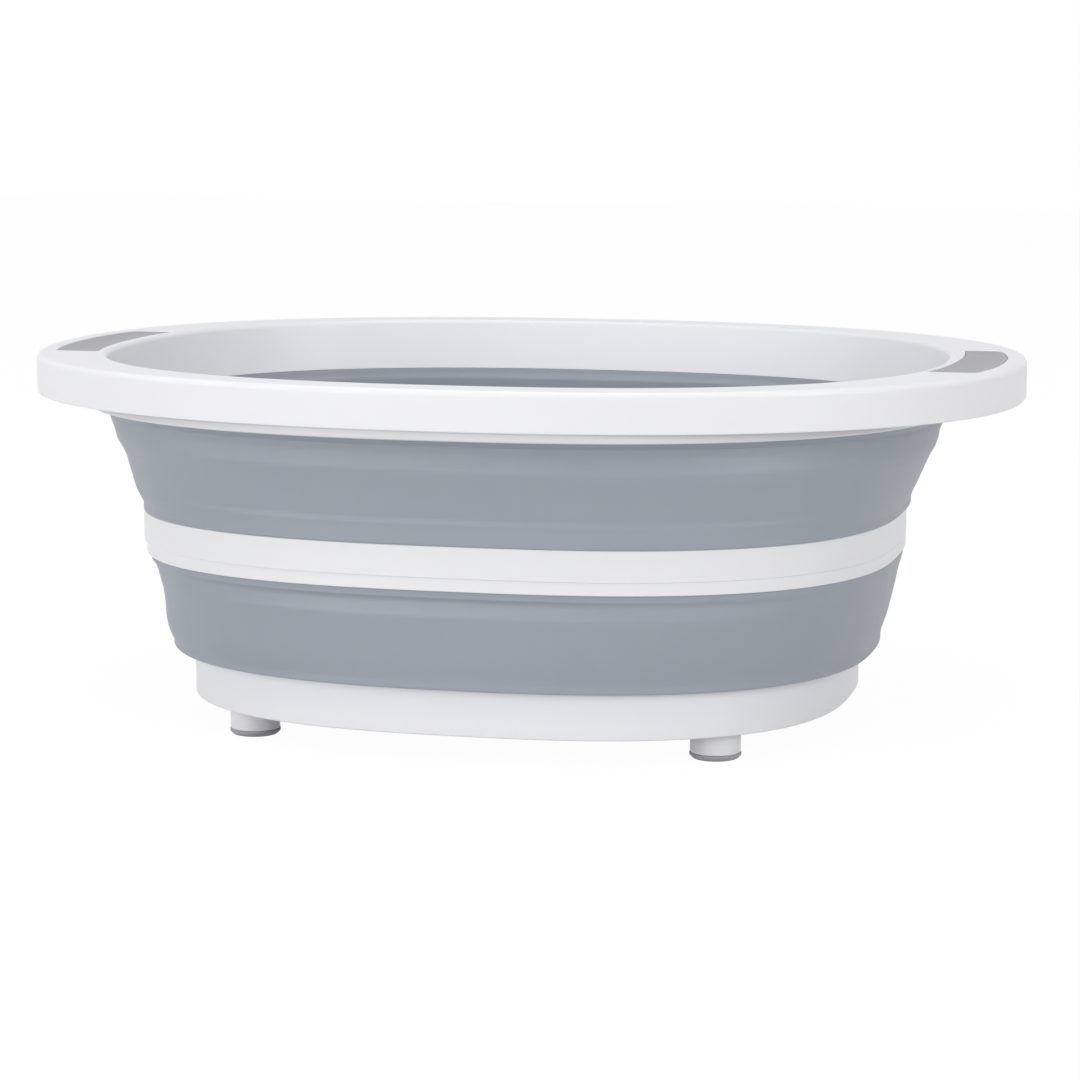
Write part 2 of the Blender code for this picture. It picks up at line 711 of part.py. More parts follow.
def build_plug(parent):
    """The plug: a flanged stem with a groove for its seal, and a bar to pull it by."""
    seat, groove, foot = plug_heights()
    stem = DRAIN_RADIUS - PLUG_LIP_CLEAR
    flange = DRAIN_RADIUS + PLUG_FLANGE_REACH
    top = seat + PLUG_FLANGE + PLUG_DOME
    profile = [
        (stem - PLUG_DOME, foot),
        (stem, foot + PLUG_LIP / 2),
        (stem, groove),
        (stem - PLUG_GROOVE_DEPTH, groove),
        (stem - PLUG_GROOVE_DEPTH, groove + PLUG_GROOVE),
        (stem, groove + PLUG_GROOVE),
        (stem, seat),
        (flange, seat),
        (flange, seat + PLUG_FLANGE),
        (flange - PLUG_DOME, top),
    ]
    plug = turned("plug_body", profile, (0.0, 0.0), False, parent, WHITE_PLASTIC)
    bm = bmesh.new()
    bmesh.ops.create_cube(bm, size=1.0)
    size = (PLUG_BAR_LENGTH, PLUG_BAR_WIDTH, PLUG_BAR_HEIGHT + PLUG_FLANGE)
    bmesh.ops.scale(bm, vec=size, verts=bm.verts)
    bmesh.ops.translate(bm, vec=(0, 0, top - PLUG_FLANGE + size[2] / 2), verts=bm.verts)
    upper = [e for e in bm.edges if all(v.co.z > top for v in e.verts) or is_upright(e)]
    bmesh.ops.bevel(
        bm, geom=upper, offset=PLUG_BAR_ROUND, segments=PLUG_BAR_EDGE_STEPS, affect="EDGES"
    )
    bar = as_helper(finish_object("plug_bar", bm, None, WHITE_PLASTIC))
    combine(plug, "UNION", bar)
    return plug


def is_upright(edge):
    low, high = edge.verts
    return abs(low.co.x - high.co.x) + abs(low.co.y - high.co.y) < GAP


def build_plug_seal(parent):
    """The plug's seal: a ring in its groove, with a lip out to the drain's wall."""
    _, groove, _ = plug_heights()
    inner = DRAIN_RADIUS - PLUG_LIP_CLEAR - PLUG_GROOVE_DEPTH + GAP
    outer = DRAIN_RADIUS - GAP
    low = groove + GAP
    high = groove + PLUG_GROOVE - GAP
    bevel = (high - low) / 2
    profile = [
        (inner, low),
        (outer - bevel, low),
        (outer, low + bevel),
        (outer - bevel, high),
        (inner, high),
    ]
    return turned("plug_seal", profile, (0.0, 0.0), True, parent, GREY_ELASTOMER)


def main():
    clear_scene()
    base = make_empty("base_frame", 0.0)
    ring = make_empty("ring_slide_axis", RING_Z, base)
    rim = make_empty("rim_slide_axis", COLLAR_Z, ring)
    plug = make_empty("plug_lift_axis", FLOOR_Z, base)

    build_base_tray(base)
    for label, centre in leg_centres().items():
        build_leg(label, centre, base)
        build_pad(label, centre, base)
    build_strainer(base)
    build_plug(plug)
    build_plug_seal(plug)
    build_lower_wall(ring)
    build_hoop(ring)
    build_band(ring)
    build_upper_wall(rim)
    build_collar(rim)
    build_rim(rim)
    build_grip("left", -1, rim)
    build_grip("right", 1, rim)


main()
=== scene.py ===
"""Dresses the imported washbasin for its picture.

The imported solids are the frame. Each visible node is replaced by a fine surface that lies
where the node lies, and each surface gets a moulded finish. Lengths are metres, +Z is up
and +X runs along the basin, as in the frame.

Most pieces are a section carried round: a row of the section is an oval at a height, and
the points of all rows at one parameter angle make a column of the surface.
"""

import logging
import math
from dataclasses import dataclass
from enum import Enum

import bmesh
import bpy
import numpy as np
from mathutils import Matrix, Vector


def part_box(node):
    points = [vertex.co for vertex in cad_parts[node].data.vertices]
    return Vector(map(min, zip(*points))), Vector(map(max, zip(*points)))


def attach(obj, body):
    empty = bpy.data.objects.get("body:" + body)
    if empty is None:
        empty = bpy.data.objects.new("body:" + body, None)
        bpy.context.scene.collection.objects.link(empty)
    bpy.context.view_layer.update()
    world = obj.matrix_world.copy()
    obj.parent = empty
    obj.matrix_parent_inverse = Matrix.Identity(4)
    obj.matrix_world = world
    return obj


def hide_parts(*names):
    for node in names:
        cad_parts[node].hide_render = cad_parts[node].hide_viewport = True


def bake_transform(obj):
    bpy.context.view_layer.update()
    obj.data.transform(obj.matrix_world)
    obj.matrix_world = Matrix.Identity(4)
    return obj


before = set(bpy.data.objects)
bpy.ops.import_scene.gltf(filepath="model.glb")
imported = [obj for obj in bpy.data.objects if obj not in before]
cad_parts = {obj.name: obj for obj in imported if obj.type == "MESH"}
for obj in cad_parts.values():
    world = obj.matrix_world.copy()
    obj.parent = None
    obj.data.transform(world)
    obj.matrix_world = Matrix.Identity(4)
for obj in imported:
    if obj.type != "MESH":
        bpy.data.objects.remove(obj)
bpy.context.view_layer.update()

LOG = logging.getLogger("washbasin")
MM = 0.001

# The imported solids' gap, a finer one where pieces meet in sight, and how far cutters run past a face
GAP = 0.3 * MM
SEAM = 0.06 * MM
OVERCUT = 1.0 * MM

# Radii of small moulded edges
CRISP_EDGE = 0.2 * MM
FINE_EDGE = 0.3 * MM
SMALL_EDGE = 0.4 * MM
SOFT_EDGE = 0.5 * MM

# How finely surfaces are sampled, rounded, smoothed, merged and shaded
OVAL_COLUMNS = 288
ROUND_COLUMNS = 72
ARC_STEPS = 5
ARC_SHARE = 0.45
GUARD = 0.25 * MM
GUARD_SHARE = 0.49
BEND_REACH = 0.9 * MM
BEND_SPACING = 0.45 * MM
MERGE_BELOW = 0.002 * MM
SHARP_ABOVE = math.radians(38)
TINY = 1e-9

Corner = tuple["Oval", float, float]


class Body(Enum):
    """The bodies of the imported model."""

    BASE = "base"
    RING = "middle_ring"
    RIM = "rim_assembly"
    PLUG = "plug"


class Slot(Enum):
    """The record's material slots."""

    WHITE = "white_plastic"
    GREY = "grey_elastomer"
    GRIP = "grip_elastomer"
    PAD = "pad_rubber"


# Shader maths


class Value:
    """A socket in shader maths: an expression on values adds its Math nodes."""

    def __init__(self, graph: "Graph", socket: bpy.types.NodeSocket) -> None:
        """Holds the socket and the graph that it belongs to."""
        self.graph = graph
        self.socket = socket

    def _math(self, operation: str, first: "Value | float", second: "Value | float") -> "Value":
        """The result of one Math node on two values."""
        return self.graph.node("ShaderNodeMath", {"operation": operation}, {0: first, 1: second})

    def __add__(self, other: "Value | float") -> "Value":
        """The sum."""
        return self._math("ADD", self, other)

    def __sub__(self, other: "Value | float") -> "Value":
        """The difference."""
        return self._math("SUBTRACT", self, other)

    def __rsub__(self, other: "Value | float") -> "Value":
        """The difference from a number."""
        return self._math("SUBTRACT", other, self)

    def __mul__(self, other: "Value | float") -> "Value":
        """The product."""
        return self._math("MULTIPLY", self, other)

    __radd__ = __add__
    __rmul__ = __mul__


class Graph:
    """A node tree that is written as expressions."""

    def __init__(self, tree: bpy.types.NodeTree) -> None:
        """Holds the tree."""
        self.tree = tree

    def feed(self, node: bpy.types.Node, inputs: dict) -> None:
        """Sets or links a node's sockets.

        Args:
            node: The node.
            inputs: Socket name or number to a number, colour or Value.
        """
        for key, value in inputs.items():
            if isinstance(value, Value):
                self.tree.links.new(value.socket, node.inputs[key])
            else:
                node.inputs[key].default_value = value

    def node(
        self, kind: str, settings: dict | None = None, inputs: dict | None = None, output: int | str = 0
    ) -> Value:
        """Adds a node.

        Args:
            kind: The node's type.
            settings: Its properties, which are set first.
            inputs: Socket name or number to a number, colour or Value.
            output: The socket that is wanted from it.

        Returns:
            That output as a Value.
        """
        made = self.tree.nodes.new(kind)
        for key, value in (settings or {}).items():
            setattr(made, key, value)
        self.feed(made, inputs or {})
        return Value(self, made.outputs[output])

    def noise(self, size: float, detail: float, stretch: tuple = (1.0, 1.0, 1.0)) -> Value:
        """Noise on Object coordinates.

        Args:
            size: The width of its patches in metres.
            detail: Octaves of finer noise.
            stretch: How many times longer the patches are along X, Y and Z.

        Returns:
            The noise, from 0 to 1.
        """
        place = self.node("ShaderNodeTexCoord", output="Object")
        scale = tuple(1.0 / factor for factor in stretch)
        place = self.node("ShaderNodeMapping", None, {"Vector": place, "Scale": scale})
        inputs = {"Vector": place, "Scale": 1.0 / size, "Detail": detail}
        return self.node("ShaderNodeTexNoise", None, inputs)

    def tint(self, share: Value, first: tuple, second: tuple) -> Value:
        """A colour at this share of the way; a colour Mix has its colours at 6, 7 and output 2."""
        inputs = {0: share, 6: (*first, 1.0), 7: (*second, 1.0)}
        return self.node("ShaderNodeMix", {"data_type": "RGBA"}, inputs, output=2)


@dataclass(frozen=True)
class Finish:
    """A moulded finish.

    Its colour drifts in broad patches and in streaks where the melt ran, its gloss drifts
    too, and its surface has a long shallow wave and a fine grain.
    """

    name: str
    slot: Slot
    colour: tuple
    drift: tuple
    roughness: float
    roughness_drift: float
    streak: tuple = (1.0, 1.0, 1.0)
    streak_size: float = 9.0 * MM
    patch_size: float = 60.0 * MM
    wave_size: float = 14.0 * MM
    wave_depth: float = 0.0015 * MM
    grain_size: float = 0.9 * MM
    grain_depth: float = 0.0004 * MM
    specular: float = 0.5

    def material(self) -> bpy.types.Material:
        """Builds the material.

        Returns:
            The material, with everything that varies worked out by its nodes.
        """
        made = bpy.data.materials.new(self.name)
        made.use_nodes = True
        graph = Graph(made.node_tree)
        patches = graph.noise(self.patch_size, 2.0)
        streaks = graph.noise(self.streak_size, 3.0, self.streak)
        grain = graph.noise(self.grain_size, 2.0)
        wave = graph.noise(self.wave_size, 1.0)
        share = patches * 0.5 + streaks * 0.5
        deepest = self.wave_depth + self.grain_depth
        height = wave * (self.wave_depth / deepest) + grain * (self.grain_depth / deepest)
        bump = graph.node(
            "ShaderNodeBump", None, {"Strength": 1.0, "Distance": deepest, "Height": height}
        )
        rough = self.roughness + (streaks - 0.5) * self.roughness_drift
        shader = made.node_tree.nodes["Principled BSDF"]
        graph.feed(
            shader,
            {
                "Base Color": graph.tint(share, self.colour, self.drift),
                "Roughness": rough,
                "Normal": bump,
                "Specular IOR Level": self.specular,
            },
        )
        return made


WHITE = Finish(
    name="white_polypropylene",
    slot=Slot.WHITE,
    colour=(0.862, 0.862, 0.880),
    drift=(0.848, 0.850, 0.872),
    roughness=0.36,
    roughness_drift=0.05,
    specular=0.32,
)
SATIN_WHITE = Finish(
    name="satin_polypropylene",
    slot=Slot.WHITE,
    colour=(0.76, 0.76, 0.78),
    drift=(0.745, 0.747, 0.77),
    roughness=0.42,
    roughness_drift=0.06,
)
ELASTOMER = Finish(
    name="blue_grey_elastomer",
    slot=Slot.GREY,
    colour=(0.338, 0.372, 0.419),
    drift=(0.314, 0.347, 0.397),
    roughness=0.48,
    roughness_drift=0.08,
    streak=(1.0, 1.0, 6.0),
    wave_depth=0.008 * MM,
    grain_depth=0.002 * MM,
)
GRIP = Finish(
    name="grip_inlay_elastomer",
    slot=Slot.GRIP,
    colour=(0.395, 0.395, 0.415),
    drift=(0.375, 0.375, 0.395),
    roughness=0.5,
    roughness_drift=0.06,
    grain_depth=0.002 * MM,
    specular=0.3,
)
RUBBER = Finish(
    name="foot_pad_rubber",
    slot=Slot.PAD,
    colour=(0.40, 0.40, 0.43),
    drift=(0.37, 0.37, 0.40),
    roughness=0.5,
    roughness_drift=0.1,
    grain_depth=0.01 * MM,
)


# Surfaces


@dataclass(frozen=True)
class Oval:
    """A superellipse in plan, |(x - x0)/a|^n + |y/b|^n = 1."""

    a: float
    b: float
    n: float = 2.0
    x0: float = 0.0

    def inset(self, at_ends: float, at_sides: float | None = None) -> "Oval":
        """The oval this far inside; the two ways differ where at_sides is given."""
        sides = at_ends if at_sides is None else at_sides
        return Oval(self.a - at_ends, self.b - sides, self.n, self.x0)

    def half_length_at(self, y: np.ndarray) -> np.ndarray:
        """How far it reaches along X at this Y, a (1 - |y/b|^n)^(1/n)."""
        return self.a * (1 - np.abs(y / self.b) ** self.n) ** (1 / self.n)


def disc(radius: float) -> Oval:
    """A circle of this radius."""
    return Oval(radius, radius)


def plain(mesh: bpy.types.Mesh) -> bpy.types.Mesh:
    """Merges a mesh's seams and poles, turns its faces outwards and shades it smooth."""
    work = bmesh.new()
    work.from_mesh(mesh)
    bmesh.ops.remove_doubles(work, verts=work.verts, dist=MERGE_BELOW)
    bmesh.ops.dissolve_degenerate(work, edges=work.edges, dist=MERGE_BELOW)
    bmesh.ops.recalc_face_normals(work, faces=work.faces)
    work.to_mesh(mesh)
    work.free()
    mesh.shade_smooth()
    mesh.set_sharp_from_angle(angle=SHARP_ABOVE)
    return mesh


def skinned(name: str, grid: np.ndarray, closed: bool) -> bpy.types.Object:
    """A surface from a grid of points, closed along its columns.

    Args:
        name: The object's name.
        grid: Points as rows, columns and three coordinates.
        closed: Whether the last row joins the first.

    Returns:
        The object, at the origin.
    """
    index = np.arange(grid.shape[0] * grid.shape[1]).reshape(grid.shape[:2])
    index = np.hstack([index, index[:, :1]])
    if closed:
        index = np.vstack([index, index[:1]])
    corners = (index[:-1, :-1], index[:-1, 1:], index[1:, 1:], index[1:, :-1])
    faces = np.stack(corners, axis=-1).reshape(-1, 4)
    mesh = bpy.data.meshes.new(name)
    mesh.from_pydata(grid.reshape(-1, 3).tolist(), [], faces.tolist())
    made = bpy.data.objects.new(name, plain(mesh))
    bpy.context.scene.collection.objects.link(made)
    return made


def rounded(corners: list[Corner], closed: bool = True) -> np.ndarray:
    """A section with its corners rounded.

    A corner P between edges to A and B becomes the arc of a circle of radius r. It starts
    and ends r / tan(angle / 2) along the two edges, at S and E, and its points are the
    rational curve ((1-t)^2 S + 2 w t (1-t) P + t^2 E) / ((1-t)^2 + 2 w t (1-t) + t^2), with
    w the sine of half the angle. A guard row a little outside each end keeps flats flat.
    Neither takes more than its share of an edge.

    Args:
        corners: An oval, its height and the corner's radius, round the section.
        closed: Whether the last corner joins the first.

    Returns:
        Rows of half-length, half-width, exponent, height and the centre's X.
    """
    rows = np.array([(oval.a, oval.b, oval.n, z, oval.x0) for oval, z, _ in corners])
    radii = np.array([radius for *_, radius in corners])
    if not closed:
        radii[[0, -1]] = 0.0
    sides = [np.roll(rows, 1, axis=0) - rows, np.roll(rows, -1, axis=0) - rows]
    runs = [np.maximum(np.hypot(side[:, 0], side[:, 3]), TINY) for side in sides]
    dot = sides[0][:, 0] * sides[1][:, 0] + sides[0][:, 3] * sides[1][:, 3]
    half = np.arccos(np.clip(dot / (runs[0] * runs[1]), -1, 1)) / 2
    shortest = np.minimum(runs[0], runs[1])
    cut = np.minimum(radii / np.maximum(np.tan(half), TINY), ARC_SHARE * shortest)
    points = [rows + side * (cut / run)[:, None] for side, run in zip(sides, runs)]
    guards = [rows + side * ((cut + GUARD) / run)[:, None] for side, run in zip(sides, runs)]
    t = np.linspace(0, 1, ARC_STEPS + 1)[None, :, None]
    weight = np.sin(half)[:, None, None]
    middle = 2 * weight * t * (1 - t)
    arc = (1 - t) ** 2 * points[0][:, None] + middle * rows[:, None] + t**2 * points[1][:, None]
    arc = arc / ((1 - t) ** 2 + middle + t**2)
    every = np.concatenate([guards[0][:, None], arc, guards[1][:, None]], axis=1)
    round_ones = radii > 0
    keep = np.repeat(round_ones[:, None], every.shape[1], axis=1)
    keep[:, 1] = True
    keep[:, 0] &= cut + GUARD < GUARD_SHARE * runs[0]
    keep[:, -1] &= cut + GUARD < GUARD_SHARE * runs[1]
    return every[keep]


def stacked(name: str, loops: list[np.ndarray], heights: list[float]) -> bpy.types.Object:
    """A closed surface from plan loops at heights, from the middle below to the middle above.

    Args:
        name: The object's name.
        loops: Rows of x and y, as many in each loop.
        heights: The height of each loop.

    Returns:
        The object.
    """
    plan = np.stack(loops)
    levels = np.broadcast_to(np.array(heights)[:, None, None], (*plan.shape[:2], 1))
    return skinned(name, np.concatenate([plan, levels], axis=2), closed=False)


def swept(
    name: str, rows: np.ndarray, columns: int, closed: bool = True, centre: tuple = (0.0, 0.0)
) -> bpy.types.Object:
    """A section carried round the upright axis.

    At parameter angle t, a row (a, b, n, z, x0) has its point at height z and
    x = x0 + a sign(cos t) |cos t|^(2/n), y = b sign(sin t) |sin t|^(2/n).

    Args:
        name: The object's name.
        rows: Half-length, half-width, exponent, height and centre's X of each row.
        columns: Points round each row.
        closed: Whether the section is a loop; if not, it starts and ends at a pole.
        centre: Where the axis stands.

    Returns:
        The object.
    """
    angle = np.linspace(0, 2 * np.pi, columns, endpoint=False)
    cos, sin = np.cos(angle), np.sin(angle)
    power = 2 / rows[:, 2:3]
    x = centre[0] + rows[:, 4:5] + rows[:, 0:1] * np.sign(cos) * np.abs(cos) ** power
    y = centre[1] + rows[:, 1:2] * np.sign(sin) * np.abs(sin) ** power
    z = np.broadcast_to(rows[:, 3:4], x.shape)
    return skinned(name, np.stack([x, y, z], axis=-1), closed)


def turned(name: str, profile: list[tuple], centre: tuple = (0.0, 0.0)) -> bpy.types.Object:
    """A round piece through rows of radius, height and corner radius, from pole to pole."""
    corners = [(disc(radius), z, edge) for radius, z, edge in profile]
    return swept(name, rounded(corners, closed=False), ROUND_COLUMNS, False, centre)


def post(
    name: str, radius: float, low: float, high: float, centre: tuple, edge: float = 0.0
) -> bpy.types.Object:
    """An upright cylinder between two heights, with its lower edge rounded."""
    profile = [(0.0, low, 0.0), (radius, low, edge), (radius, high, 0.0), (0.0, high, 0.0)]
    return turned(name, profile, centre)


def combined(piece: bpy.types.Object, operation: str, *tools: bpy.types.Object) -> None:
    """Cuts tools out of a piece, or joins them to it, and removes them.

    Args:
        piece: The object whose mesh is replaced.
        operation: DIFFERENCE or UNION.
        tools: Closed meshes.
    """
    for tool in tools:
        modifier = piece.modifiers.new(operation, "BOOLEAN")
        modifier.operation = operation
        modifier.solver = "EXACT"
        modifier.object = tool
    graph = bpy.context.evaluated_depsgraph_get()
    mesh = bpy.data.meshes.new_from_object(piece.evaluated_get(graph))
    piece.modifiers.clear()
    mesh.name = piece.name
    piece.data = plain(mesh)
    for tool in tools:
        bpy.data.objects.remove(tool)


def eased(stations: tuple) -> list[tuple[Oval, float]]:
    """A wall's face through stations, with its bends smoothed.

    Straight lines between the stations are sampled evenly in height and averaged over a
    window with the weights of half a cosine wave. Their ends are carried on straight first,
    so that they stay.

    Args:
        stations: Height, half-length, half-width, exponent and centre's X, from the lowest
            up, with the lengths in millimetres.

    Returns:
        An oval and its height for each sample.
    """
    table = np.array(stations) * np.array([MM, MM, MM, 1.0, MM])
    count = int(round(np.ptp(table[:, 0]) / BEND_SPACING)) + 1
    z = np.linspace(table[0, 0], table[-1, 0], count)
    pad = max(1, int(round(BEND_REACH / (z[1] - z[0]))))
    weights = np.cos(np.linspace(-np.pi / 2, np.pi / 2, 2 * pad + 3))[1:-1]
    lines = []
    for column in table[:, 1:].T:
        line = np.interp(z, table[:, 0], column)
        low = line[0] - (line[1] - line[0]) * np.arange(pad, 0, -1)
        high = line[-1] + (line[-1] - line[-2]) * np.arange(1, pad + 1)
        longer = np.concatenate([low, line, high])
        lines.append(np.convolve(longer, weights / weights.sum(), "valid"))
    ovals = [Oval(*row) for row in np.stack(lines, axis=1).tolist()]
    return list(zip(ovals, z.tolist()))


def dressed(piece: bpy.types.Object, finish: Finish, node: str, body: Body | None) -> None:
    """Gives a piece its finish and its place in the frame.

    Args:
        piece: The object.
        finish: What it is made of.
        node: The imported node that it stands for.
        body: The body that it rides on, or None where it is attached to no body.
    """
    made = bpy.data.materials.get(finish.name) or finish.material()
    piece.data.materials.clear()
    piece.data.materials.append(made)
    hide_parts(node)
    if body:
        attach(piece, body.value)
    LOG.info("%s: %d faces, %s", piece.name, len(piece.data.polygons), finish.name)


def folding(
    piece: bpy.types.Object, node: str
) -> None:
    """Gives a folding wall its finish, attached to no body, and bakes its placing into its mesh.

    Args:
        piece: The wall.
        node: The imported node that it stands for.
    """
    dressed(piece, ELASTOMER, node, None)
    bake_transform(piece)


def hung(name: str, data: bpy.types.ID, place: tuple, aim: tuple) -> bpy.types.Object:
    """Puts a lamp or a camera at a place.

    Args:
        name: The object's name.
        data: The lamp or camera.
        place: Where it hangs.
        aim: What it faces.

    Returns:
        The object.
    """
    holder = bpy.data.objects.new(name, data)
    holder.location = place
    direction = Vector(aim) - Vector(place)
    holder.rotation_euler = direction.to_track_quat("-Z", "Y").to_euler()
    bpy.context.scene.collection.objects.link(holder)
    return holder


# Heights, ovals and sizes that more than one sub-assembly meets


@dataclass(frozen=True)
class Levels:
    """Heights above the ground."""

    pad_top: float = 2.4 * MM
    base_edge: float = 11.7 * MM
    floor_under: float = 17.0 * MM
    floor: float = 19.5 * MM
    hem: float = 31.0 * MM
    base_flange_under: float = 32.1 * MM
    base_top: float = 33.7 * MM
    ring: float = 72.3 * MM
    ring_line: float = 77.6 * MM
    ring_top: float = 90.4 * MM
    lip: float = 132.1 * MM
    collar: float = 134.0 * MM
    skirt: float = 138.2 * MM
    flange_under: float = 151.5 * MM
    rim: float = 154.5 * MM


LEVELS = Levels()
OPENING = Oval(177.6 * MM, 141.2 * MM, 2.38)
RIM_EDGE = Oval(210.0 * MM, 157.8 * MM, 2.23)
RING_EDGE = Oval(159.6 * MM, 133.0 * MM, 2.64)
RING_LIP = Oval(159.05 * MM, 132.3 * MM, 2.64, 0.45 * MM)
BASE_EDGE = Oval(139.8 * MM, 118.9 * MM, 2.6, 0.6 * MM)
WALL = 1.9 * MM
TONGUE = 1.5 * MM
BAND_WALL = 1.8 * MM
BASE_FLANGE = 3.2 * MM


@dataclass(frozen=True)
class Drain:
    """The drain's tube under a shallow dish in the floor."""

    radius: float = 19.0 * MM
    wall: float = 2.2 * MM
    below_floor: float = 3.8 * MM
    dish_depth: float = 0.8 * MM

    @property
    def dish(self) -> float:
        """Height of the dish's flat."""
        return LEVELS.floor - self.dish_depth

    @property
    def foot(self) -> float:
        """Height of the tube's lower end."""
        return LEVELS.floor_under - self.below_floor


DRAIN = Drain()


@dataclass(frozen=True)
class GripShape:
    """The plan of a grip: edges that follow the rim's two, ends cut square, corners rounded.

    The inner edge may stand a little askew, by inner_slope along X for each length along Y.
    """

    side: int
    half_length: float = 47.0 * MM
    from_outer_edge: float = 8.0 * MM
    from_opening: float = 4.1 * MM
    inner_slope: float = 0.0
    corner: float = 3.0 * MM
    spine_share: float = 0.78
    peg_spread: float = 32.0 * MM
    edge_points: int = 41
    corner_points: int = 7

    def edges(self, y: np.ndarray, grow: float) -> tuple[np.ndarray, np.ndarray]:
        """X of the outer and the inner edge at these Y, for an outline grown this much."""
        outer = RIM_EDGE.inset(self.from_outer_edge - grow).half_length_at(y)
        inner = OPENING.inset(grow - self.from_opening).half_length_at(y)
        return outer, inner + self.inner_slope * y

    def outline(self, grow: float) -> np.ndarray:
        """The outline as a loop of points.

        The edges run to within the corner's radius of the ends. A corner at P, from S on one
        edge to E on the other, is the curve (1-t)^2 S + 2 t (1-t) P + t^2 E.

        Args:
            grow: How far the outline stands outside the grip's.

        Returns:
            Points as rows of x and y.
        """
        half = self.half_length + grow
        y = np.linspace(-half + self.corner, half - self.corner, self.edge_points)
        outer, inner = self.edges(y, grow)
        (low_out, tip_out), (low_in, tip_in) = self.edges(np.array([-half, half]), grow)
        t = np.linspace(0, 1, self.corner_points + 2)[1:-1, None]

        def corner(start: tuple, tip: tuple, end: tuple) -> np.ndarray:
            """The curve from start to end about tip."""
            to_tip = (1 - t) ** 2 * np.array(start) + 2 * t * (1 - t) * np.array(tip)
            return to_tip + t**2 * np.array(end)

        far_out = (tip_out - self.corner, half)
        far_in = (tip_in + self.corner, half)
        up = corner((outer[-1], y[-1]), (tip_out, half), far_out)
        across = corner(far_in, (tip_in, half), (inner[-1], y[-1]))
        near_out = (low_out - self.corner, -half)
        near_in = (low_in + self.corner, -half)
        back = corner((inner[0], y[0]), (low_in, -half), near_in)
        down = corner(near_out, (low_out, -half), (outer[0], y[0]))
        loop = [
            np.stack([outer, y], axis=1),
            up,
            [far_out],
            [far_in],
            across,
            np.stack([inner, y], axis=1)[::-1],
            back,
            [near_in],
            [near_out],
            down,
        ]
        return np.concatenate(loop) * np.array([self.side, 1.0])

    def spine(self, loop: np.ndarray) -> np.ndarray:
        """For each point of a loop, the point of the grip's middle line that it closes to."""
        y = loop[:, 1] * self.spine_share
        outer, inner = self.edges(y, 0.0)
        return np.stack([self.side * (outer + inner) / 2, y], axis=1)

    def pegs(self, radius: float, low: float, high: float) -> list[bpy.types.Object]:
        """Upright pegs on the middle line.

        Args:
            radius: Their radius.
            low: Height of their feet.
            high: Height of their tops.

        Returns:
            Three cylinders.
        """
        made = []
        for y in (-self.peg_spread, 0.0, self.peg_spread):
            outer, inner = self.edges(np.array([y]), 0.0)
            centre = (self.side * float(outer[0] + inner[0]) / 2, y)
            made.append(post("peg", radius, low, high, centre))
        return made


GRIPS = {
    "left": GripShape(-1),
    "right": GripShape(1, from_opening=4.9 * MM, inner_slope=0.05),
}


